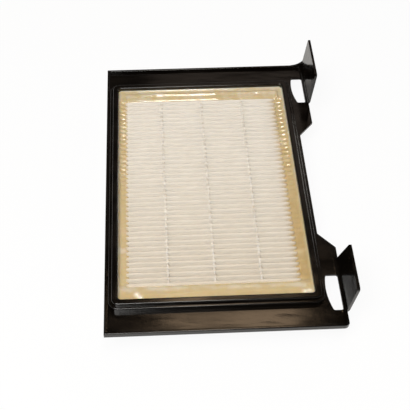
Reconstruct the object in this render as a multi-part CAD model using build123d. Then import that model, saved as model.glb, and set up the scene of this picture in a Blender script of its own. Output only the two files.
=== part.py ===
from build123d import *
import math
import os

# Vacuum exhaust filter: a moulded frame with two spring latches and a pleated pack potted into its opening.
# Millimetres. X runs across towards the latches, Y along the filter, Z up out of the clean-air face.

# Flange; it reaches a little further past the opening at its far end
FRAME_LENGTH = 201.4
FRAME_WIDTH = 124.4
FRAME_SHIFT = 0.9
FLANGE_THICKNESS = 1.5
LIP_WIDTH = 1.6
LIP_HEIGHT = 2.0
LIP_EDGE = 0.5
WEB_RUN = 8.0
WEB_RISE = 6.5

# Opening, collar above the flange, and box below it
OPENING_LENGTH = 160.4
OPENING_WIDTH = 108.9
OPENING_CORNER = 1.8
COLLAR_WALL = 3.6
COLLAR_HEIGHT = 5.5
COLLAR_EDGE = 0.8
STEP_WIDTH = 1.85
STEP_HEIGHT = 3.5
STEP_EDGE = 0.6
COLLAR_CORNER = 4.0
BOX_DEPTH = 20.0
BOX_WALL = 2.0
LEDGE_WIDTH = 4.5
LEDGE_THICKNESS = 1.6

# Ears on the latch side, one at each end
EAR_REACH = 9.3
EAR_LENGTH = 52.0
EAR_SLOPE = 10.0
EAR_CORNER = 3.0

# Slot in each ear; its inner edge bows towards the opening
SLOT_FROM_END = 22.2
SLOT_LENGTH = 22.8
SLOT_WIDTH = 7.9
SLOT_INSET = 0.5
SLOT_FAR_BOW = 1.0
SLOT_NEAR_BOW = 2.6
SLOT_CORNER = 1.2

# Latch leaf bent up out of each ear; its foot runs as far past the slot as the frame's far end
LEAF_START = 6.2
LEAF_RADIUS = 2.4
LEAF_LEAN = 1.0
LEAF_HEIGHT = 29.0
LEAF_NEAR_MARGIN = 1.4
LEAF_FLARE = 3.2
LEAF_CORNER = 1.6
NEAR_LEAF_SLANT = 10.0
FAR_LEAF_SLANT = 5.3

# Pleated sheet
SHEET_THICKNESS = 0.5
PLEAT_PITCH = 3.565
FOLD_RADIUS = 0.7
CREST_DROP = 3.0

# Potting around the pack
POT_SIDE = 6.0
POT_END = 8.5
POT_DROP = 2.8
POT_SLOPE_RUN = 4.5
POT_SLOPE_DROP = 2.0

# Spacer threads over the folds
THREAD_COUNT = 3
THREAD_PITCH = 26.4
THREAD_WIDTH = 1.6
THREAD_HEIGHT = 0.3

# Worked out from the sizes above
SIDE = FRAME_WIDTH / 2
END = FRAME_LENGTH / 2
FLANGE_TOP = BOX_DEPTH
COLLAR_TOP = FLANGE_TOP + COLLAR_HEIGHT
PLEAT_COUNT = math.floor((OPENING_LENGTH - 2 * POT_END) / PLEAT_PITCH)
PACK_LENGTH = (PLEAT_COUNT - 0.5) * PLEAT_PITCH + SHEET_THICKNESS
PACK_WIDTH = OPENING_WIDTH - 2 * POT_SIDE
CREST_TOP = COLLAR_TOP - CREST_DROP
TIP_REACH = SHEET_THICKNESS / math.sqrt(2) - FOLD_RADIUS * (math.sqrt(2) - 1)
FOLD_HIGH = CREST_TOP - TIP_REACH
FOLD_LOW = LEDGE_THICKNESS + TIP_REACH
POT_TOP = COLLAR_TOP - POT_DROP
PAST = 5.0


def opening_sketch(grow, corner):
    """The opening's outline, grown outwards all round."""
    return RectangleRounded(OPENING_WIDTH + 2 * grow, OPENING_LENGTH + 2 * grow, corner)


def wall_ring(thickness, corner):
    """A plan ring of the given thickness round the opening."""
    return opening_sketch(thickness, corner) - opening_sketch(0, OPENING_CORNER)


def flange_outline():
    """The flange in plan: a rectangle with a chamfered ear at each end of the latch side."""
    reach = SIDE + EAR_REACH
    foot = END - EAR_LENGTH
    root = foot - EAR_SLOPE
    half = [(SIDE, root), (reach, foot), (reach, END), (-SIDE, END)]
    mirrored = [(x, -y) for x, y in reversed(half)]
    outline = make_face(Polyline(*half, *mirrored, close=True))
    corners = outline.vertices().filter_by(lambda v: v.X > SIDE and abs(v.Y) > (foot + END) / 2)
    return Pos(0, FRAME_SHIFT, FLANGE_TOP) * fillet(corners, EAR_CORNER)


def lip():
    """The low lip on the flange's ends and on the side away from the latches."""
    inner_width = FRAME_WIDTH + 2 * EAR_REACH
    inner_length = FRAME_LENGTH - 2 * LIP_WIDTH
    inside = Pos(LIP_WIDTH + EAR_REACH, FRAME_SHIFT, FLANGE_TOP) * Rectangle(inner_width, inner_length)
    ring = extrude(flange_outline() - inside, LIP_HEIGHT)
    return fillet(ring.edges().group_by(Axis.Z)[-1], LIP_EDGE)


def lip_web():
    """The web in which the lip of the far end climbs to the far leaf."""
    leaf_middle = SIDE + LEAF_START + LEAF_RADIUS + FLANGE_THICKNESS / 2
    start = leaf_middle - WEB_RUN
    climb = TangentArc((start, LIP_HEIGHT), (leaf_middle, WEB_RISE), tangent=(1, 0))
    rest = Polyline((leaf_middle, WEB_RISE), (leaf_middle, 0), (start, 0), (start, LIP_HEIGHT))
    end_plane = Plane(origin=(0, END + FRAME_SHIFT, FLANGE_TOP), x_dir=(1, 0, 0), z_dir=(0, -1, 0))
    return extrude(end_plane * make_face([climb, rest]), LIP_WIDTH)


def collar():
    """The stepped collar that stands round the opening, with rounded top edges."""
    step_grow = COLLAR_WALL + STEP_WIDTH
    upper = extrude(wall_ring(COLLAR_WALL, COLLAR_CORNER), COLLAR_HEIGHT)
    upper = fillet(upper.edges().group_by(Axis.Z)[-1], COLLAR_EDGE)
    lower = extrude(wall_ring(step_grow, COLLAR_CORNER + STEP_WIDTH), STEP_HEIGHT)
    lower = fillet(lower.edges().group_by(Axis.Z)[-1], STEP_EDGE)
    return Pos(0, 0, FLANGE_TOP) * (upper + lower)


def box():
    """The wall below the flange and the ledge that carries the potting."""
    wall = extrude(wall_ring(BOX_WALL, OPENING_CORNER + BOX_WALL), BOX_DEPTH)
    window = Rectangle(OPENING_WIDTH - 2 * LEDGE_WIDTH, OPENING_LENGTH - 2 * LEDGE_WIDTH)
    ledge = extrude(opening_sketch(BOX_WALL / 2, OPENING_CORNER) - window, LEDGE_THICKNESS)
    return wall + ledge


def slot_cutter(middle):
    """A slot through the ear; the middle is its place along the filter."""
    left = SIDE - SLOT_INSET
    right = left + SLOT_WIDTH
    near = middle - SLOT_LENGTH / 2
    far = middle + SLOT_LENGTH / 2
    heel = (left + SLOT_FAR_BOW, far)
    toe = (left + SLOT_NEAR_BOW, near)
    bow = ThreePointArc(heel, (left, middle), toe)
    rest = Polyline(toe, (right, near), (right, far), heel)
    outline = make_face([bow, rest])
    outline = fillet(outline.vertices(), SLOT_CORNER)
    return extrude(Pos(0, 0, FLANGE_TOP) * outline, LEAF_RADIUS, both=True)


def leaf_span(middle):
    """Near and far ends of a leaf's foot along the filter."""
    near = middle - SLOT_LENGTH / 2 - LEAF_NEAR_MARGIN
    far = middle + SLOT_FROM_END
    return near, far


def leaf_section():
    """The leaf's section: level with the flange, round the bend, then up past its top edge."""
    turn = 90 - LEAF_LEAN
    centre = (LEAF_START, LEAF_RADIUS)
    inner = CenterArc(centre, LEAF_RADIUS, -90, turn)
    outer = CenterArc(centre, LEAF_RADIUS + FLANGE_THICKNESS, -90, turn)
    rise = (inner % 1) * LEAF_HEIGHT
    inner_top = inner @ 1 + rise
    outer_top = outer @ 1 + rise
    sides = Polyline(inner @ 1, inner_top, outer_top, outer @ 1)
    return make_face([Line(outer @ 0, inner @ 0), inner, sides, outer])


def leaf_face(near, far, slant):
    """The leaf seen square on: its near edge leans out and its far edge slants up to a point."""
    foot = -FLANGE_THICKNESS
    shoulder = (near - LEAF_FLARE, LEAF_HEIGHT)
    point = (far - slant, LEAF_HEIGHT)
    outline = make_face(Polyline((near, foot), (near, 0), shoulder, point, (far, 0), (far, foot), close=True))
    return fillet(outline.vertices().sort_by(Axis.X)[0], LEAF_CORNER)


def leaf(middle, slant):
    """One latch leaf, its section run along the filter and trimmed to its face."""
    near, far = leaf_span(middle)
    section_plane = Plane(origin=(SIDE, far, FLANGE_TOP), x_dir=(1, 0, 0), z_dir=(0, -1, 0))
    sheet = extrude(section_plane * leaf_section(), far - near + LEAF_FLARE)
    face_plane = Plane(origin=(SIDE, 0, FLANGE_TOP), x_dir=(0, 1, 0), z_dir=(1, 0, 0))
    depth = LEAF_START + LEAF_RADIUS + LEAF_HEIGHT
    trim = extrude(face_plane * leaf_face(near, far, slant), depth)
    return sheet & trim


def leaf_clearance(middle):
    """The part of the ear that the bent leaf takes the place of."""
    near, far = leaf_span(middle)
    depth = EAR_REACH + PAST
    length = far - near
    place = Pos(SIDE + LEAF_START + depth / 2, near + length / 2, FLANGE_TOP)
    return place * Box(depth, length, 2 * FLANGE_THICKNESS)


def filter_frame():
    """The whole moulding."""
    through = extrude(opening_sketch(0, OPENING_CORNER), COLLAR_TOP)
    window = Pos(0, 0, LEDGE_THICKNESS) * through
    ear_middle = END - SLOT_FROM_END
    ears = {FRAME_SHIFT - ear_middle: NEAR_LEAF_SLANT, FRAME_SHIFT + ear_middle: FAR_LEAF_SLANT}
    plate = extrude(flange_outline(), -FLANGE_THICKNESS)
    for middle, slant in ears.items():
        plate = plate - leaf_clearance(middle) + leaf(middle, slant) - slot_cutter(middle)
    return plate - window + lip() + lip_web() + box() + collar()


def fold_points(offset):
    """Corners of one face of the folded sheet, near end to far end, offset from the sheet's middle."""
    quarter = PLEAT_PITCH / 4
    tip = offset * math.sqrt(2)
    shoulder = tip - offset
    first = -(PLEAT_COUNT - 1) / 2 * PLEAT_PITCH
    points = [(first - quarter - offset, LEDGE_THICKNESS)]
    for index in range(PLEAT_COUNT):
        crest = first + index * PLEAT_PITCH
        valley = crest + PLEAT_PITCH / 2
        wide = quarter + offset
        narrow = quarter - offset
        points.append((crest - wide, FOLD_HIGH - quarter + shoulder))
        points.append((crest, FOLD_HIGH + tip))
        points.append((crest + wide, FOLD_HIGH - quarter + shoulder))
        if index < PLEAT_COUNT - 1:
            points.append((valley - narrow, FOLD_LOW + quarter + shoulder))
            points.append((valley, FOLD_LOW + tip))
            points.append((valley + narrow, FOLD_LOW + quarter + shoulder))
    points.append((-first + quarter + offset, LEDGE_THICKNESS))
    return points


def pleated_media():
    """The folded sheet: upright flanks that close at two creases to a rounded tip."""
    above = fold_points(SHEET_THICKNESS / 2)
    below = fold_points(-SHEET_THICKNESS / 2)
    section = make_face(Polyline(*above, *reversed(below), close=True))
    tips = section.vertices().filter_by(lambda v: v.Y > CREST_TOP or v.Y < LEDGE_THICKNESS)
    section = fillet(tips, FOLD_RADIUS)
    return extrude(Plane.YZ * section, PACK_WIDTH / 2, both=True)


def potting():
    """Hot-melt from the pack to the opening's wall, its top sloping down to the folds."""
    height = POT_TOP - LEDGE_THICKNESS
    block = extrude(Pos(0, 0, LEDGE_THICKNESS) * opening_sketch(0, OPENING_CORNER), height)
    pack = Pos(0, 0, LEDGE_THICKNESS) * extrude(Rectangle(PACK_WIDTH, PACK_LENGTH), height)
    slope_low = Pos(0, 0, POT_TOP - POT_SLOPE_DROP) * Rectangle(PACK_WIDTH, PACK_LENGTH)
    spread = 2 * POT_SLOPE_RUN
    slope_high = Pos(0, 0, POT_TOP) * Rectangle(PACK_WIDTH + spread, PACK_LENGTH + spread)
    return block - pack - loft([slope_low, slope_high])


def spacer_threads():
    """Half-round threads lying along the pack on its folds."""
    length = (PLEAT_COUNT - 1) * PLEAT_PITCH + SHEET_THICKNESS
    half = THREAD_WIDTH / 2
    crown = ThreePointArc((-half, 0), (0, THREAD_HEIGHT), (half, 0))
    section = make_face([crown, Line((half, 0), (-half, 0))])
    bar = extrude(Plane.XZ * section, length / 2, both=True)
    threads = []
    for index in range(THREAD_COUNT):
        x = (index - (THREAD_COUNT - 1) / 2) * THREAD_PITCH
        threads.append(Pos(x, 0, CREST_TOP) * bar)
    return Compound(children=threads)


def main():
    os.makedirs("parts", exist_ok=True)
    frame = filter_frame()
    reach = frame.bounding_box()
    centred = Pos(-reach.center().X, -reach.center().Y, -reach.min.Z)
    nodes = {
        "filter_frame": frame,
        "pleated_media": pleated_media(),
        "potting": potting(),
        "spacer_threads": spacer_threads(),
    }
    for name, shape in nodes.items():
        export_step(centred * shape, f"parts/{name}.step")


main()
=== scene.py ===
"""Finishes of a vacuum exhaust filter: moulded frame, pleated pack, poured hot-melt and spacer threads."""

import math

import bpy
from bpy.props import FloatProperty, FloatVectorProperty, IntProperty, PointerProperty
from mathutils import Matrix, Vector, noise


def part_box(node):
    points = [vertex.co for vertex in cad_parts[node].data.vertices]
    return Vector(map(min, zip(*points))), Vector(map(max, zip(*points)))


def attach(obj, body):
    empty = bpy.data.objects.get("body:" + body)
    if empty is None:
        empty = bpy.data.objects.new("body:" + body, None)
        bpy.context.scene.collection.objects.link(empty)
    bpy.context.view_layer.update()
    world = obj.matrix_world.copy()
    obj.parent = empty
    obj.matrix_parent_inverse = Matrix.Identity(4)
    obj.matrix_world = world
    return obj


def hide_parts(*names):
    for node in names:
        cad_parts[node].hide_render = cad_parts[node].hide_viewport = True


bl_info = {
    "name": "Vacuum Exhaust Filter",
    "version": (1, 0, 0),
    "blender": (4, 5, 0),
    "location": "View3D > Sidebar > Filter",
    "description": "Builds the looks of a pleated vacuum exhaust filter round its solid model",
    "category": "Object",
}

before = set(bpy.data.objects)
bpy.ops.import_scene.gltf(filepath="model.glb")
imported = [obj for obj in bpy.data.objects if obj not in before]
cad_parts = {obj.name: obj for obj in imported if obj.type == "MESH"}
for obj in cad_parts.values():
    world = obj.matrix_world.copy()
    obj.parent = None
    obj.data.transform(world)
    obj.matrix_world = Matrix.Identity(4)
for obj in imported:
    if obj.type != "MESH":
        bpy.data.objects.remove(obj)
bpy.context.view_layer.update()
PACK_LOW, PACK_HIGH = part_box("pleated_media")
POT_LOW, POT_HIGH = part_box("potting")
THREAD_LOW, THREAD_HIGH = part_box("spacer_threads")
BODY = "root"
MM = 0.001
LEFT_REACH = 1.6 * MM
PACK_LOW.x -= LEFT_REACH
MIDDLE_X = (POT_LOW.x + POT_HIGH.x) / 2
FALLING = (0.06, 0.20)
RISING = (0.80, 0.94)
DROPS = ((-49.3, -76.9), (-47.6, -79.1), (44.0, -79.0), (46.8, -78.4))


def length(name, description, millimetres):
    """A size property in Blender's length units."""
    return FloatProperty(name=name, description=description, default=millimetres * MM,
                         unit="LENGTH", subtype="DISTANCE", precision=5)


def share(name, description, default):
    """A property from nothing to all."""
    return FloatProperty(name=name, description=description, default=default, min=0.0, max=1.0,
                         subtype="FACTOR")


def tint(name, description, colour):
    """A colour property, in linear values."""
    return FloatVectorProperty(name=name, description=description, default=colour, size=3,
                               min=0.0, max=1.0, subtype="COLOR")


class MouldingLook(bpy.types.PropertyGroup):
    """Finish of the moulded frame."""

    colour: tint("Colour", "Colour of the moulding", (0.0024, 0.0016, 0.0010))
    worn_colour: tint("Rubbed colour", "Colour where the moulding is rubbed", (0.0046, 0.0032, 0.0022))
    roughness: share("Roughness", "Roughness of the smooth faces", 0.10)
    rubbed_roughness: share("Rubbed roughness", "Roughness of the drawn streaks", 0.19)
    grain: length("Grain", "Size of the fine moulding grain", 0.9)
    streak: length("Streak", "Width of the flow streaks", 9.0)


class PackSizes(bpy.types.PropertyGroup):
    """Sizes and finish of the folded sheet and its threads."""

    pitch: length("Pitch", "Distance from fold to fold", 3.565)
    sheet: length("Sheet", "Thickness of the sheet", 0.5)
    fold_radius: length("Fold radius", "Rounding of a fold's tip", 0.45)
    wander: length("Wander", "How far a fold strays from its line", 0.03)
    unevenness: length("Unevenness", "How much the folds differ in height", 0.03)
    end_dip: length("End dip", "How far a fold sinks at its ends", 0.5)
    end_run: length("End run", "Length over which a fold's end sinks", 2.6)
    soak_run: length("Soak run", "How far hot-melt soaks into the folds from their ends", 6.0)
    columns: IntProperty(name="Columns", description="Divisions of the sheet along a fold", default=60)
    colour: tint("Colour", "Colour of the clean sheet", (0.955, 0.920, 0.865))
    # Painted shade: the crests get this darker colour so that their lit tips come out no brighter than the flanks;
    # it is set strongest on the near rows.
    crest_shade_colour: tint("Dusty colour", "Colour of the crests, which carry a little dust", (0.660, 0.595, 0.515))
    # Besides the soak, a little of this colour is laid over the near rows as a painted warm light.
    soak_and_warm_light_colour: tint("Soaked colour", "Colour of the sheet where hot-melt soaks in", (0.640, 0.500, 0.290))
    thread_colour: tint("Thread colour", "Colour of the spacer threads", (0.800, 0.740, 0.655))


class PottingLook(bpy.types.PropertyGroup):
    """Shape and finish of the poured hot-melt."""

    climb: length("Climb", "How far above its solid the hot-melt climbs the wall", 0.5)
    fall: length("Fall", "How far the surface falls from the wall to the folds", 2.0)
    end_fall: length("End fall", "How far the surface falls from the wall to the first and last fold", 0.9)
    lean: share("Lean", "Slope of the surface beside the folds, towards them", 0.07)
    fall_run: length("Fall run", "How quickly the surface falls away from the wall", 0.7)
    soak: length("Soak", "How far the hot-melt runs in between the folds", 1.6)
    soak_drop: length("Soak drop", "How far it sinks in between the folds", 1.2)
    bead: length("Bead", "Height of the bead beside each fold", 0.33)
    bead_place: length("Bead place", "Distance of the beads from the wall", 3.0)
    ridge: length("Ridge", "Height of the poured ridge along the two ends", 0.92)
    ridge_place: length("Ridge place", "Distance of the poured ridge from the wall", 4.2)
    lump: length("Lump", "Height of the slow lumps", 0.20)
    drop: length("Drop", "Height of the drops in the two near corners", 0.9)
    drop_radius: length("Drop radius", "Spread of such a drop", 1.5)
    colour: tint("Colour", "Colour of the hot-melt", (0.590, 0.465, 0.262))
    deep_colour: tint("Deep colour", "Colour of the thick hot-melt", (0.440, 0.305, 0.125))
    pale_colour: tint("Pale colour", "Colour of the thin and bubbled hot-melt", (0.660, 0.590, 0.460))
    # Painted highlight: the drops get this bright warm white, which stands for the glints on them.
    drop_glint_colour: tint("Drop colour", "Colour of the drops, which are cloudy with bubbles", (0.930, 0.850, 0.680))


class StageLook(bpy.types.PropertyGroup):
    """Camera, floor and light."""

    camera_place: FloatVectorProperty(name="Camera place", description="Where the camera stands", size=3,
                                      default=(-35.41 * MM, -301.54 * MM, 407.15 * MM), subtype="XYZ")
    camera_down: FloatProperty(name="Camera down", description="Degrees that the camera looks down",
                               default=53.93)
    camera_turn: FloatProperty(name="Camera turn", description="Degrees that the camera turns to the right",
                               default=2.834)
    camera_roll: FloatProperty(name="Camera roll", description="Degrees that the camera rolls", default=0.39)
    lens: FloatProperty(name="Lens", description="Focal length in millimetres", default=70.24)
    shift: FloatVectorProperty(name="Shift", description="Shift of the view to the right and up", size=2,
                               default=(0.0546, 0.0173))
    floor_colour: tint("Floor colour", "Colour of the floor", (0.90, 0.90, 0.90))
    floor_glow: share("Floor glow", "How much of the floor's white does not depend on the lamps", 0.92)
    mirrored_glow: share("Mirrored glow", "The same share where the floor is seen in a glossy face", 0.09)
    wall_level: FloatProperty(name="Wall level", description="Light from the room's pale walls", default=0.60)
    ceiling_level: FloatProperty(name="Ceiling level", description="Light from overhead", default=0.03)


def tree_of(material):
    """The material's empty node tree with a shader joined to its output."""
    material.use_nodes = True
    nodes = material.node_tree.nodes
    nodes.clear()
    shader = nodes.new("ShaderNodeBsdfPrincipled")
    output = nodes.new("ShaderNodeOutputMaterial")
    material.node_tree.links.new(shader.outputs["BSDF"], output.inputs["Surface"])
    return material.node_tree, shader


def noise_node(tree, scale, stretch=(1.0, 1.0, 1.0), detail=3.0, roughness=0.5):
    """Noise in the object's own frame; the stretch lengthens it along an axis."""
    place = tree.nodes.new("ShaderNodeTexCoord")
    mapping = tree.nodes.new("ShaderNodeMapping")
    mapping.inputs["Scale"].default_value = [1.0 / s for s in stretch]
    texture = tree.nodes.new("ShaderNodeTexNoise")
    texture.inputs["Scale"].default_value = scale
    texture.inputs["Detail"].default_value = detail
    texture.inputs["Roughness"].default_value = roughness
    tree.links.new(place.outputs["Object"], mapping.inputs["Vector"])
    tree.links.new(mapping.outputs["Vector"], texture.inputs["Vector"])
    return texture.outputs["Fac"]


def spread(tree, value, low, high, to_low, to_high):
    """Maps a value from one range to another, smoothly and within it."""
    node = tree.nodes.new("ShaderNodeMapRange")
    node.interpolation_type = "SMOOTHSTEP"
    node.inputs["From Min"].default_value = low
    node.inputs["From Max"].default_value = high
    node.inputs["To Min"].default_value = to_low
    node.inputs["To Max"].default_value = to_high
    tree.links.new(value, node.inputs["Value"])
    return node.outputs["Result"]


def blended(tree, amount, first, second):
    """A colour between two others; each is a colour or another node's output."""
    node = tree.nodes.new("ShaderNodeMix")
    node.data_type = "RGBA"
    tree.links.new(amount, node.inputs["Factor"])
    for socket, colour in ((node.inputs[6], first), (node.inputs[7], second)):
        if isinstance(colour, bpy.types.NodeSocket):
            tree.links.new(colour, socket)
        else:
            socket.default_value = (*colour, 1.0)
    return node.outputs[2]


def bumped(tree, height, depth, strength, below=None):
    """A surface roughened by a height, over another roughening where one is given."""
    node = tree.nodes.new("ShaderNodeBump")
    node.inputs["Strength"].default_value = strength
    node.inputs["Distance"].default_value = depth
    tree.links.new(height, node.inputs["Height"])
    if below is not None:
        tree.links.new(below, node.inputs["Normal"])
    return node.outputs["Normal"]


def scaled(tree, value, amount):
    """One value times another."""
    node = tree.nodes.new("ShaderNodeMath")
    node.operation = "MULTIPLY"
    tree.links.new(value, node.inputs[0])
    tree.links.new(amount, node.inputs[1])
    return node.outputs["Value"]


def attribute_node(tree, name):
    """A value that the mesh carries at each point."""
    node = tree.nodes.new("ShaderNodeAttribute")
    node.attribute_name = name
    return node.outputs["Fac"]


def moulding_material(look):
    """Satin black-brown moulded plastic with flow streaks and a fine grain."""
    material = bpy.data.materials.new("moulded_black")
    tree, shader = tree_of(material)
    streaks = noise_node(tree, 1.0 / look.streak, (4.0, 1.0, 1.0), 2.0, 0.5)
    grain = noise_node(tree, 1.0 / look.grain, detail=2.0)
    rubbed = spread(tree, streaks, 0.42, 0.66, 0.0, 1.0)
    tree.links.new(blended(tree, rubbed, look.colour, look.worn_colour), shader.inputs["Base Color"])
    tree.links.new(spread(tree, streaks, 0.3, 0.7, look.roughness, look.rubbed_roughness),
                   shader.inputs["Roughness"])
    ripple = bumped(tree, streaks, 0.6 * MM, 0.30)
    tree.links.new(bumped(tree, grain, 0.05 * MM, 0.30, ripple), shader.inputs["Normal"])
    shader.inputs["IOR"].default_value = 1.5
    return material


def sheet_material(pack):
    """Matt cream fibre sheet, with painted shade on its crests, a painted warm light over its near rows, and amber
    where hot-melt has soaked in.
    """
    material = bpy.data.materials.new("fibre_sheet")
    tree, shader = tree_of(material)
    cloud = noise_node(tree, 90.0, detail=4.0)
    fibre = noise_node(tree, 1400.0, (4.0, 1.0, 1.0), 3.0, 0.65)
    # Painted shade on the crests, broken up a little by the cloud noise.
    crest_shade_amount = scaled(tree, attribute_node(tree, "crest_shade"), spread(tree, cloud, 0.3, 0.7, 0.8, 1.0))
    crest_shade = blended(tree, crest_shade_amount, pack.colour, pack.crest_shade_colour)
    soak_and_warm_light = blended(tree, attribute_node(tree, "soak_and_warm_light"), crest_shade, pack.soak_and_warm_light_colour)
    tree.links.new(soak_and_warm_light, shader.inputs["Base Color"])
    tree.links.new(bumped(tree, fibre, 0.06 * MM, 0.35), shader.inputs["Normal"])
    shader.inputs["Roughness"].default_value = 0.92
    shader.inputs["Specular IOR Level"].default_value = 0.2
    shader.inputs["Subsurface Weight"].default_value = 0.1
    shader.inputs["Subsurface Radius"].default_value = (1.0, 0.9, 0.75)
    shader.inputs["Subsurface Scale"].default_value = 0.4 * MM
    return material


def hot_melt_material(look):
    """Glossy amber hot-melt, deep where it is thick and pale where it is thin or bubbled, with a painted highlight
    on the corner drops.
    """
    material = bpy.data.materials.new("amber_hot_melt")
    tree, shader = tree_of(material)
    cloud = noise_node(tree, 130.0, detail=4.0, roughness=0.6)
    swirl = noise_node(tree, 420.0, detail=2.0)
    thin = scaled(tree, attribute_node(tree, "thin"), spread(tree, cloud, 0.25, 0.75, 0.75, 1.25))
    body = blended(tree, spread(tree, thin, 0.0, 0.5, 0.0, 1.0), look.deep_colour, look.colour)
    surface = blended(tree, spread(tree, thin, 0.5, 1.0, 0.0, 1.0), body, look.pale_colour)
    # Painted highlight on the corner drops.
    drop_glint = blended(tree, attribute_node(tree, "drop_glint"), surface, look.drop_glint_colour)
    tree.links.new(drop_glint, shader.inputs["Base Color"])
    tree.links.new(spread(tree, swirl, 0.3, 0.7, 0.03, 0.09), shader.inputs["Roughness"])
    tree.links.new(bumped(tree, swirl, 0.10 * MM, 0.30), shader.inputs["Normal"])
    shader.inputs["IOR"].default_value = 1.6
    shader.inputs["Subsurface Weight"].default_value = 0.35
    shader.inputs["Subsurface Radius"].default_value = (1.0, 0.55, 0.2)
    shader.inputs["Subsurface Scale"].default_value = 2.0 * MM
    return material


def thread_material(pack):
    """Pale satin hot-melt of the spacer threads."""
    material = bpy.data.materials.new("pale_thread")
    tree, shader = tree_of(material)
    cloud = noise_node(tree, 300.0, detail=2.0)
    amount = spread(tree, cloud, 0.35, 0.7, 0.0, 1.0)
    # The threads are mixed with the crests' painted shade colour, so that their lit tops come out no brighter than
    # the sheet.
    tree.links.new(blended(tree, amount, pack.thread_colour, pack.crest_shade_colour), shader.inputs["Base Color"])
    tree.links.new(spread(tree, cloud, 0.3, 0.7, 0.7, 0.9), shader.inputs["Roughness"])
    shader.inputs["Subsurface Weight"].default_value = 0.5
    shader.inputs["Subsurface Radius"].default_value = (1.0, 0.9, 0.75)
    shader.inputs["Subsurface Scale"].default_value = 1.0 * MM
    return material


def new_piece(name, points, faces, material, node):
    """A smooth mesh piece that stands for a solid and rides with it."""
    mesh = bpy.data.meshes.new(name)
    mesh.from_pydata(points, [], faces)
    mesh.validate()
    mesh.shade_smooth()
    mesh.materials.append(material)
    piece = bpy.data.objects.new(name, mesh)
    bpy.context.scene.collection.objects.link(piece)
    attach(piece, BODY)
    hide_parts(node)
    return piece


def set_values(piece, name, values):
    """Keeps a value for each point of a piece's mesh."""
    attribute = piece.data.attributes.new(name, "FLOAT", "POINT")
    attribute.data.foreach_set("value", values)


def ease(amount):
    """Smooth step from nothing to one."""
    kept = min(max(amount, 0.0), 1.0)
    return kept * kept * (3.0 - 2.0 * kept)


def sway(*place):
    """Smooth noise, from about minus one to one."""
    return noise.noise(Vector(place))


def fold_tip(middle, centre, way, radius):
    """The rounded tip of a fold, as places along the pack and heights."""
    angles = [math.radians(a) for a in (-80.0, -40.0, 0.0, 40.0, 80.0)]
    return [(middle + radius * math.sin(a), centre + way * radius * math.cos(a)) for a in angles]


def flank(start, end, shares, index):
    """Points on the straight side of a fold."""
    return [(start[0] + (end[0] - start[0]) * s, start[1] + (end[1] - start[1]) * s, index) for s in shares]


def fold_face(pack, half, count):
    """One face of the sheet's section, near end to far end, with each point's fold."""
    depth = pack.fold_radius + pack.sheet / 2.0
    high, low = PACK_HIGH.z - depth, PACK_LOW.z + depth
    first = (PACK_LOW.y + PACK_HIGH.y) / 2.0 - (count - 1) / 2.0 * pack.pitch
    leg = pack.pitch / 4.0 + half
    points = [(first - leg, PACK_LOW.z, 0)]
    for index in range(count):
        crest = first + index * pack.pitch
        tip = fold_tip(crest, high, 1.0, pack.fold_radius + half)
        points += flank(points[-1], tip[0], RISING, index)
        points += [(y, z, index) for y, z in tip]
        if index < count - 1:
            foot = fold_tip(crest + pack.pitch / 2.0, low, -1.0, pack.fold_radius - half)
        else:
            foot = [(crest + leg, PACK_LOW.z)]
        points += flank(tip[-1], foot[0], FALLING, index)
        points += [(y, z, index) for y, z in foot]
    return points


class FILTER_OT_dress_frame(bpy.types.Operator):
    """Give the moulded frame its satin plastic"""

    bl_idname = "filter.dress_frame"
    bl_label = "Dress frame"

    def execute(self, context):
        look = context.scene.filter_moulding
        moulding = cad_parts["filter_frame"]
        moulding.data.materials.clear()
        moulding.data.materials.append(moulding_material(look))
        return {"FINISHED"}


class FILTER_OT_fold_sheet(bpy.types.Operator):
    """Fold the fibre sheet into the pack, each fold a little uneven"""

    bl_idname = "filter.fold_sheet"
    bl_label = "Fold sheet"

    def execute(self, context):
        pack = context.scene.filter_pack
        span = PACK_HIGH.y - PACK_LOW.y
        count = round((span - pack.sheet) / pack.pitch + 0.5)
        above = fold_face(pack, pack.sheet / 2.0, count)
        below = fold_face(pack, -pack.sheet / 2.0, count)
        section = above + below[::-1]
        across = PACK_HIGH.x - PACK_LOW.x
        steps = [PACK_LOW.x + across * c / pack.columns for c in range(pack.columns + 1)]
        points, soak_and_warm_light, crest_shade = [], [], []
        for x in steps:
            edge = min(x - PACK_LOW.x, PACK_HIGH.x - x)
            dip = 1.0 - ease(edge / pack.end_run)
            for y, z, index in section:
                rise = (z - PACK_LOW.z) / (PACK_HIGH.z - PACK_LOW.z)
                stray = pack.wander * sway(x * 28.0, index * 0.71, 3.0) * rise
                lift = pack.unevenness * sway(x * 35.0, index * 0.93, 9.0) * ease(rise)
                points.append((x, y + stray, z + lift - pack.end_dip * dip * ease(rise)))
                crest = 1.0 - ease((PACK_HIGH.z - z) / (1.2 * MM))
                run = pack.soak_run * (0.35 + 0.65 * (1.0 - crest)) * (1.0 if x > MIDDLE_X else 0.3)
                wet = 0.85 * (1.0 - ease(edge / run)) * (0.8 + 0.2 * sway(x * 300.0, index * 1.7, 5.0))
                near = (PACK_HIGH.y - y) / span
                # The soak mark also carries a painted warm light, growing towards the near rows (0.18 * near **
                # 2); the rest is the real soak of hot-melt from the fold ends.
                soak_and_warm_light.append(max(0.18 * near ** 2, wet))
                # Painted shade on the crests, stronger on the near rows.
                crest_shade.append(crest * (0.80 + 0.20 * near))
        ring = len(section)
        faces = []
        for column in range(pack.columns):
            here = column * ring
            there = here + ring
            for k in range(ring):
                after = (k + 1) % ring
                faces.append((here + k, here + after, there + after, there + k))
        half = len(above)
        for start, turned in ((0, False), (pack.columns * ring, True)):
            for k in range(half - 1):
                corner = [start + k, start + ring - 1 - k, start + ring - 2 - k, start + k + 1]
                faces.append(corner[::-1] if turned else corner)
        piece = new_piece("folded_sheet", points, faces, sheet_material(pack), "pleated_media")
        set_values(piece, "soak_and_warm_light", soak_and_warm_light)
        set_values(piece, "crest_shade", crest_shade)
        return {"FINISHED"}


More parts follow.
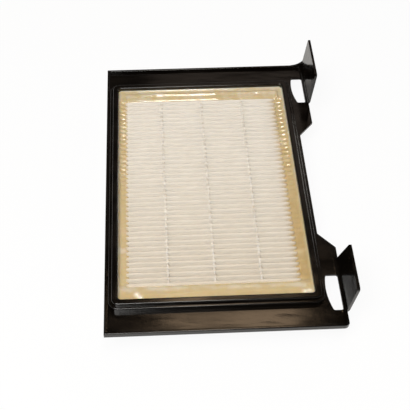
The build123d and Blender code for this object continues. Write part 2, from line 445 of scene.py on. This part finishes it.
class FILTER_OT_pour_potting(bpy.types.Operator):
    """Pour the hot-melt between the pack and the frame, with its lumps, beads and climbing edge"""

    bl_idname = "filter.pour_potting"
    bl_label = "Pour potting"

    def execute(self, context):
        look = context.scene.filter_potting
        pack = context.scene.filter_pack
        rim = loop_points(POT_LOW, POT_HIGH, 1.8 * MM)
        core = loop_points(PACK_LOW, PACK_HIGH, 0.6 * MM)
        inset = loop_points(PACK_LOW + Vector((look.soak, look.soak, 0.0)),
                            PACK_HIGH - Vector((look.soak, look.soak, 0.0)), 0.6 * MM)
        shares = [0.0, 0.5, 1.0]
        band = [(k + 1) / 24.0 for k in range(24)]
        points, thin, drop_glint = [], [], []
        for inner, edge, outer in zip(inset, core, rim):
            row = [inner.lerp(edge, s) for s in shares] + [edge.lerp(outer, s) for s in band]
            for place in row:
                points.append((place.x, place.y, potting_height(place, look, pack)))
                thin.append(potting_thinness(place))
                # Painted highlight: how much of the drops' bright glint colour lies here.
                drop_glint.append(min(1.0, drop_share(place, look)))
            points.append((outer.x, outer.y, POT_LOW.z))
            points.append((inner.x, inner.y, POT_LOW.z))
            thin += [0.0, 0.0]
            drop_glint += [0.0, 0.0]
        row_length = len(shares) + len(band) + 2
        faces = []
        for k in range(len(rim)):
            here = k * row_length
            there = (k + 1) % len(rim) * row_length
            for j in range(row_length):
                after = (j + 1) % row_length
                faces.append((here + j, here + after, there + after, there + j))
        piece = new_piece("poured_hot_melt", points, faces, hot_melt_material(look), "potting")
        set_values(piece, "thin", thin)
        set_values(piece, "drop_glint", drop_glint)
        return {"FINISHED"}


def loop_points(low, high, corner):
    """Points round a rectangle with rounded corners, the same number on each side for any rectangle."""
    along_x, along_y, round_steps = 220, 460, 6
    centres = [(high.x - corner, high.y - corner, 0.0), (low.x + corner, high.y - corner, 90.0),
               (low.x + corner, low.y + corner, 180.0), (high.x - corner, low.y + corner, 270.0)]
    points = []
    for index, (x, y, start) in enumerate(centres):
        arc = []
        for step in range(round_steps + 1):
            angle = math.radians(start + 90.0 * step / round_steps)
            arc.append(Vector((x + corner * math.cos(angle), y + corner * math.sin(angle), 0.0)))
        points += arc
        next_x, next_y, next_start = centres[(index + 1) % 4]
        angle = math.radians(next_start)
        after = Vector((next_x + corner * math.cos(angle), next_y + corner * math.sin(angle), 0.0))
        count = along_x if index % 2 == 0 else along_y
        points += [arc[-1].lerp(after, step / count) for step in range(1, count)]
    return points


def outside_pack(place):
    """Distance from the pack's edge outwards, less than nothing inside it."""
    across = max(PACK_LOW.x - place.x, place.x - PACK_HIGH.x)
    along = max(PACK_LOW.y - place.y, place.y - PACK_HIGH.y)
    if across > 0.0 and along > 0.0:
        return math.hypot(across, along)
    return max(across, along)


def inside_rim(place):
    """Distance from the opening's wall inwards."""
    across = min(place.x - POT_LOW.x, POT_HIGH.x - place.x)
    along = min(place.y - POT_LOW.y, POT_HIGH.y - place.y)
    return min(across, along)


def beside_pack(place, run):
    """One beside the pack, nothing past its two ends, with a smooth change between."""
    return ease(min(place.y - PACK_LOW.y, PACK_HIGH.y - place.y) / run + 0.5)


def drop_share(place, look):
    """How much of a drop lies here, for the drops in the two near corners."""
    away = [math.hypot(place.x - x * MM, place.y - y * MM) / look.drop_radius for x, y in DROPS]
    return sum(math.exp(-distance ** 2) for distance in away)


def potting_height(place, look, pack):
    """Height of the hot-melt's surface: it climbs the wall, then lies in beads and ridges."""
    out = outside_pack(place)
    wall = inside_rim(place)
    fall = look.end_fall + (look.fall - look.end_fall) * beside_pack(place, 4.0 * MM)
    height = POT_HIGH.z + look.climb - fall * (1.0 - math.exp(-wall / look.fall_run))
    height -= look.lean * wall * beside_pack(place, 4.0 * MM) + look.soak_drop * ease(-out / look.soak)
    calm = ease(wall / (1.5 * MM)) * ease(1.0 + out / look.soak)
    lumps = sway(place.x * 95.0, place.y * 95.0, 1.0) + 0.5 * sway(place.x * 260.0, place.y * 260.0, 4.0)
    height += look.lump * lumps * calm
    height += look.drop * drop_share(place, look)
    at_side = PACK_LOW.y < place.y < PACK_HIGH.y
    if at_side:
        phase = math.cos(2.0 * math.pi * (place.y - PACK_LOW.y) / pack.pitch)
        band = math.exp(-((wall - look.bead_place) / (1.7 * MM)) ** 4)
        strength = 0.35 + 0.65 * ease(0.4 + place.y / (50.0 * MM)) + 0.2 * sway(place.x * 9.0, place.y * 60.0, 7.0)
        height += look.bead * phase * band * strength
    else:
        line = look.ridge_place + 1.0 * MM * sway(place.x * 45.0, place.y * 9.0, 8.0)
        band = max(0.0, 1.0 - abs(wall - line) / (1.6 * MM))
        strength = 1.0 if place.y > 0.0 else 0.3
        height += look.ridge * band * strength * (0.8 + 0.6 * sway(place.x * 38.0, place.y * 5.0, 11.0))
    return height


def potting_thinness(place):
    """How thin the hot-melt lies: deep on the latch side, thin over the ends of the pack and up the wall."""
    out = max(outside_pack(place), 0.0)
    wall = inside_rim(place)
    far = (place.y - POT_LOW.y) / (POT_HIGH.y - POT_LOW.y)
    side = 0.50 if place.x < MIDDLE_X else 0.12 + 0.40 * far
    end = 0.68 if far > 0.5 else 0.36 + 0.64 * math.exp(-(out / (4.0 * MM)) ** 2)
    body = end + (side - end) * beside_pack(place, 10.0 * MM)
    edge = 0.5 * math.exp(-wall / (0.5 * MM))
    streak = 0.35 * ease(sway(place.x * 60.0, place.y * 190.0, 2.0) * 1.6 - 0.3)
    return min(1.0, body + edge + streak)


class FILTER_OT_lay_threads(bpy.types.Operator):
    """Lay the spacer threads along the pack, sagging a little between the folds"""

    bl_idname = "filter.lay_threads"
    bl_label = "Lay threads"

    def execute(self, context):
        pack = context.scene.filter_pack
        width = 1.6 * MM
        height = THREAD_HIGH.z - THREAD_LOW.z
        ends = (THREAD_LOW.x + width / 2.0, THREAD_HIGH.x - width / 2.0)
        lines = [ends[0], (ends[0] + ends[1]) / 2.0, ends[1]]
        steps, around = 480, 10
        points, faces = [], []
        for number, middle in enumerate(lines):
            base = len(points)
            for step in range(steps + 1):
                y = THREAD_LOW.y + (THREAD_HIGH.y - THREAD_LOW.y) * step / steps
                sag = 0.80 * MM * (1.0 - math.cos(2.0 * math.pi * (y - THREAD_LOW.y) / pack.pitch))
                x = middle + 0.08 * MM * sway(y * 40.0, number * 5.0, 2.0)
                swell = 1.0 + 0.2 * sway(y * 160.0, number * 7.0, 6.0)
                for k in range(around):
                    angle = 2.0 * math.pi * k / around
                    z = THREAD_LOW.z - 0.12 * MM + height * 0.5 * math.sin(angle) * swell - sag
                    points.append((x + width * 0.42 * math.cos(angle) * swell, y, z))
            for step in range(steps):
                here = base + step * around
                for k in range(around):
                    after = (k + 1) % around
                    faces.append((here + k, here + after, here + around + after, here + around + k))
            faces.append([base + k for k in range(around)][::-1])
            faces.append([base + steps * around + k for k in range(around)])
        new_piece("spacer_beads", points, faces, thread_material(pack), "spacer_threads")
        return {"FINISHED"}


def floor_material(stage):
    """Pale floor that shows white to the camera and keeps the object's shadow."""
    material = bpy.data.materials.new("pale_floor")
    tree, shader = tree_of(material)
    shader.inputs["Roughness"].default_value = 0.9
    shader.inputs["Specular IOR Level"].default_value = 0.1
    cloud = noise_node(tree, 3.0)
    soft = [c * 0.97 for c in stage.floor_colour]
    tree.links.new(blended(tree, cloud, stage.floor_colour, soft), shader.inputs["Base Color"])
    glow = tree.nodes.new("ShaderNodeEmission")
    mix = tree.nodes.new("ShaderNodeMixShader")
    path = tree.nodes.new("ShaderNodeLightPath")
    seen = spread(tree, path.outputs["Is Camera Ray"], 0.0, 1.0, 0.0, stage.floor_glow)
    for kind in ("Is Glossy Ray", "Is Transmission Ray"):
        either = tree.nodes.new("ShaderNodeMath")
        either.operation = "MAXIMUM"
        tree.links.new(seen, either.inputs[0])
        tree.links.new(spread(tree, path.outputs[kind], 0.0, 1.0, 0.0, stage.mirrored_glow), either.inputs[1])
        seen = either.outputs["Value"]
    tree.links.new(seen, mix.inputs["Fac"])
    tree.links.new(shader.outputs["BSDF"], mix.inputs[1])
    tree.links.new(glow.outputs["Emission"], mix.inputs[2])
    output = next(n for n in tree.nodes if n.type == "OUTPUT_MATERIAL")
    tree.links.new(mix.outputs["Shader"], output.inputs["Surface"])
    return material


def pale_room(stage):
    """A room that is pale at its walls and dim overhead."""
    world = bpy.data.worlds.new("pale_room")
    world.use_nodes = True
    tree = world.node_tree
    place = tree.nodes.new("ShaderNodeTexCoord")
    parts = tree.nodes.new("ShaderNodeSeparateXYZ")
    tree.links.new(place.outputs["Generated"], parts.inputs["Vector"])
    level = spread(tree, parts.outputs["Z"], 0.05, 0.42, stage.wall_level, stage.ceiling_level)
    background = tree.nodes["Background"]
    background.inputs["Color"].default_value = (1.0, 0.985, 0.965, 1.0)
    tree.links.new(level, background.inputs["Strength"])
    return world


def studio_lamp(name, azimuth, elevation, distance, size, level, colour):
    """A soft lamp aimed at the pack; the level is the light that it gives a surface facing it."""
    turn, rise = math.radians(azimuth), math.radians(elevation)
    way = Vector((math.sin(turn) * math.cos(rise), math.cos(turn) * math.cos(rise), math.sin(rise)))
    lamp = bpy.data.lights.new(name, "AREA")
    lamp.shape = "RECTANGLE"
    lamp.size, lamp.size_y = size
    lamp.energy = level * math.pi ** 2 * distance ** 2
    lamp.color = colour
    holder = bpy.data.objects.new(name, lamp)
    holder.location = Vector((MIDDLE_X, 0.0, PACK_HIGH.z)) + way * distance
    holder.rotation_euler = way.to_track_quat("Z", "Y").to_euler()
    bpy.context.scene.collection.objects.link(holder)


class FILTER_OT_set_stage(bpy.types.Operator):
    """Set the floor, the soft lamps and the camera"""

    bl_idname = "filter.set_stage"
    bl_label = "Set stage"

    def execute(self, context):
        stage = context.scene.filter_stage
        scene = context.scene
        scene.view_settings.view_transform = "Standard"
        mesh = bpy.data.meshes.new("floor")
        reach = 3.0
        corners = [(-reach, -reach, 0.0), (reach, -reach, 0.0), (reach, reach, 0.0), (-reach, reach, 0.0)]
        mesh.from_pydata(corners, [], [(0, 1, 2, 3)])
        mesh.materials.append(floor_material(stage))
        floor = bpy.data.objects.new("floor", mesh)
        scene.collection.objects.link(floor)
        scene.world = pale_room(stage)
        studio_lamp("key_lamp", 210.0, 59.0, 1.1, (0.46, 0.45), 0.88, (1.0, 0.98, 0.95))
        studio_lamp("panel_lamp", 8.8, 48.6, 1.44, (0.395, 0.40), 0.011, (1.0, 0.80, 0.66))
        studio_lamp("bulb_lamp", 170.0, 80.0, 1.0, (0.13, 0.34), 0.23, (1.0, 0.96, 0.88))
        studio_lamp("strip_lamp", 13.0, 65.0, 1.21, (0.29, 0.09), 0.026, (1.0, 0.70, 0.44))
        studio_lamp("side_lamp", 45.0, 32.0, 1.2, (0.2, 0.2), 0.08, (1.0, 0.95, 0.85))
        make_camera(stage)
        return {"FINISHED"}


def make_camera(stage):
    """The camera at the photograph's viewing angle."""
    down, turn, roll = (math.radians(a) for a in (stage.camera_down, stage.camera_turn, stage.camera_roll))
    forward = Vector((math.sin(turn) * math.cos(down), math.cos(turn) * math.cos(down), -math.sin(down)))
    right = Vector((math.cos(turn), -math.sin(turn), 0.0))
    up = right.cross(forward)
    tilted_right = math.cos(roll) * right + math.sin(roll) * up
    tilted_up = math.cos(roll) * up - math.sin(roll) * right
    data = bpy.data.cameras.new("camera")
    data.sensor_width = 36.0
    data.lens = stage.lens
    data.shift_x, data.shift_y = stage.shift
    data.clip_start = 0.01
    camera = bpy.data.objects.new("camera", data)
    place = Matrix((tilted_right, tilted_up, -forward)).transposed().to_4x4()
    place.translation = Vector(stage.camera_place)
    camera.matrix_world = place
    bpy.context.scene.collection.objects.link(camera)
    bpy.context.scene.camera = camera


class FILTER_PT_panel(bpy.types.Panel):
    """Lists the steps that build the filter's looks"""

    bl_idname = "FILTER_PT_panel"
    bl_label = "Exhaust filter"
    bl_space_type = "VIEW_3D"
    bl_region_type = "UI"
    bl_category = "Filter"

    def draw(self, context):
        for step in STEPS:
            self.layout.operator(step.bl_idname)


STEPS = (FILTER_OT_dress_frame, FILTER_OT_fold_sheet, FILTER_OT_pour_potting, FILTER_OT_lay_threads,
         FILTER_OT_set_stage)
GROUPS = {"filter_moulding": MouldingLook, "filter_pack": PackSizes, "filter_potting": PottingLook,
          "filter_stage": StageLook}


def register():
    """Make the classes known to Blender and hang the property groups on the scene."""
    for group in GROUPS.values():
        bpy.utils.register_class(group)
    for step in STEPS:
        bpy.utils.register_class(step)
    bpy.utils.register_class(FILTER_PT_panel)
    for name, group in GROUPS.items():
        setattr(bpy.types.Scene, name, PointerProperty(type=group))


def unregister():
    """Take back what register made known."""
    for name in GROUPS:
        delattr(bpy.types.Scene, name)
    bpy.utils.unregister_class(FILTER_PT_panel)
    for step in reversed(STEPS):
        bpy.utils.unregister_class(step)
    for group in reversed(GROUPS.values()):
        bpy.utils.unregister_class(group)


def main():
    """Build every piece and the stage."""
    register()
    bpy.ops.filter.dress_frame()
    bpy.ops.filter.fold_sheet()
    bpy.ops.filter.pour_potting()
    bpy.ops.filter.lay_threads()
    bpy.ops.filter.set_stage()


if __name__ == "__main__":
    main()
